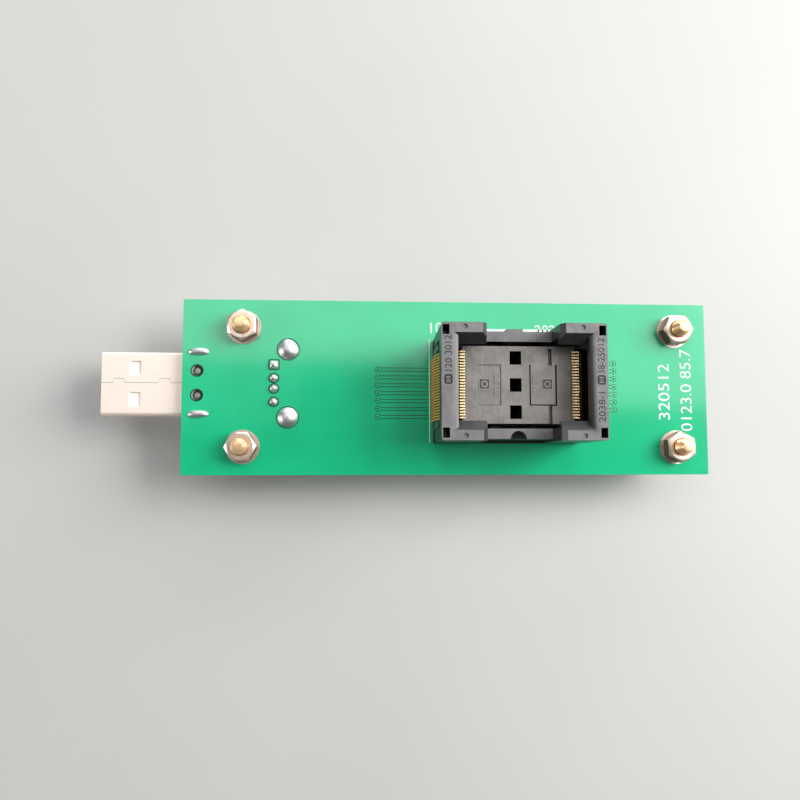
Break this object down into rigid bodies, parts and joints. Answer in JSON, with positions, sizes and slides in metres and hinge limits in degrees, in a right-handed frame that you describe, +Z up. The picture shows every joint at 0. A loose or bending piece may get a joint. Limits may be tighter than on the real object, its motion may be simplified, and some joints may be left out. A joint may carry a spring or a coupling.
{
  "type": "usb microcontroller programmer",
  "caption": "Green adapter board on brass standoffs, with a USB plug at one end and an open-top test socket whose sprung cover opens its gold contacts for a chip.",
  "frame": {"origin": "centre of the four standoff feet, on the plane that they stand on", "axes": "+X along the board away from the USB plug, +Z up, out of the socket"},
  "size_m": [0.1154, 0.033, 0.0266],
  "materials": {
    "solder_mask": "glossy green solder mask over glass fibre",
    "brass": "machined",
    "nickel": "nickel plated, machined",
    "plug_nickel": "satin nickel plate",
    "white_plastic": "moulded",
    "black_plastic": "moulded",
    "gold_plate": "gold plated",
    "tin_plate": "tin plated",
    "solder": "bright solder",
    "socket_base_plastic": "moulded, slightly glossy",
    "socket_cover_plastic": "moulded, fine grain",
    "nest_plastic": "moulded, fine grain",
    "spring_steel": "drawn wire",
    "chip_epoxy": "moulded",
    "ceramic": "fired",
    "capacitor_ceramic": "fired",
    "resistor_glaze": "glazed",
    "led_resin": "clear moulded resin"
  },
  "bodies": {
    "board": {"circuit_board": "solder_mask", "brass_standoffs": "brass", "hex_nuts": "nickel", "usb_plug_shell": "plug_nickel", "usb_plug_insulator": "white_plastic", "usb_plug_contacts": "gold_plate", "usb_receptacle_shell": "tin_plate", "usb_receptacle_insulator": "black_plastic", "usb_receptacle_contacts": "gold_plate", "connector_solder": "solder", "socket_solder": "solder", "socket_base": "socket_base_plastic", "chip_nest": "nest_plastic", "contact_stems_left": "gold_plate", "contact_stems_right": "gold_plate", "cover_springs": "spring_steel", "controller_package": "chip_epoxy", "controller_leads": "tin_plate", "crystal_base": "ceramic", "crystal_lid": "nickel", "regulator_package": "chip_epoxy", "regulator_leads": "tin_plate", "capacitor_bodies": "capacitor_ceramic", "resistor_bodies": "resistor_glaze", "chip_end_caps": "tin_plate", "led_body": "white_plastic", "led_lens": "led_resin"},
    "cover": {"socket_cover": "socket_cover_plastic"},
    "left_contacts": {"contact_arms_left": "gold_plate"},
    "right_contacts": {"contact_arms_right": "gold_plate"}
  },
  "joints": [
    {"name": "cover_press", "type": "slide", "parent": "board", "child": "cover", "axis": [0, 0, -1], "range_m": [0, 0.0025], "stiffness_N_per_m": 2000, "deforming": ["cover_springs"]},
    {"name": "left_contacts_open", "type": "hinge", "parent": "board", "child": "left_contacts", "pos_m": [-0.00409, -0.00075, 0.0146], "axis": [0, -1, 0], "range_deg": [0, 7.1]},
    {"name": "right_contacts_open", "type": "hinge", "parent": "board", "child": "right_contacts", "pos_m": [0.02051, -0.00075, 0.0146], "axis": [0, 1, 0], "range_deg": [0, 7.1]}
  ],
  "couplings": [
    {"joint": "left_contacts_open", "follows": "cover_press", "rad_per_m": 48.869},
    {"joint": "right_contacts_open", "follows": "cover_press", "rad_per_m": 48.869}
  ]
}
